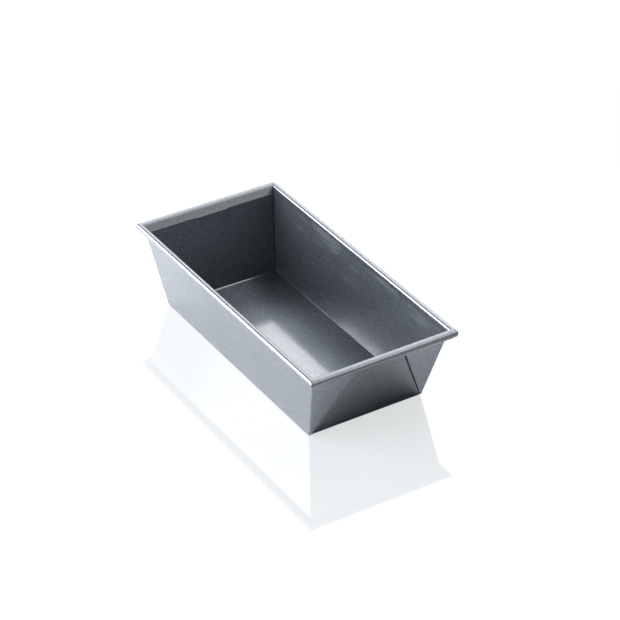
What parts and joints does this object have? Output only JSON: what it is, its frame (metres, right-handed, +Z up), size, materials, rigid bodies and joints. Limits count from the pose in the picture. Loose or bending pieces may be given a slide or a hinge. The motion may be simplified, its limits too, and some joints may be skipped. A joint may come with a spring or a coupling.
{
  "type": "loaf pan",
  "caption": "Deep rectangular loaf pan folded from coated sheet steel, with flared sides, folded gussets on the ends and a rim curled over a wire.",
  "frame": {"origin": "middle of the underside, on the table", "axes": "+X along the pan's length, +Y across its width, +Z up out of the open top"},
  "size_m": [0.25, 0.124, 0.0657],
  "materials": {
    "coated_sheet": "satin dark grey metallic non-stick coating",
    "wire_steel": "drawn steel wire, hidden in the rim"
  },
  "bodies": {
    "root": {"pan_body": "coated_sheet", "rim_wire": "wire_steel"}
  },
  "joints": []
}
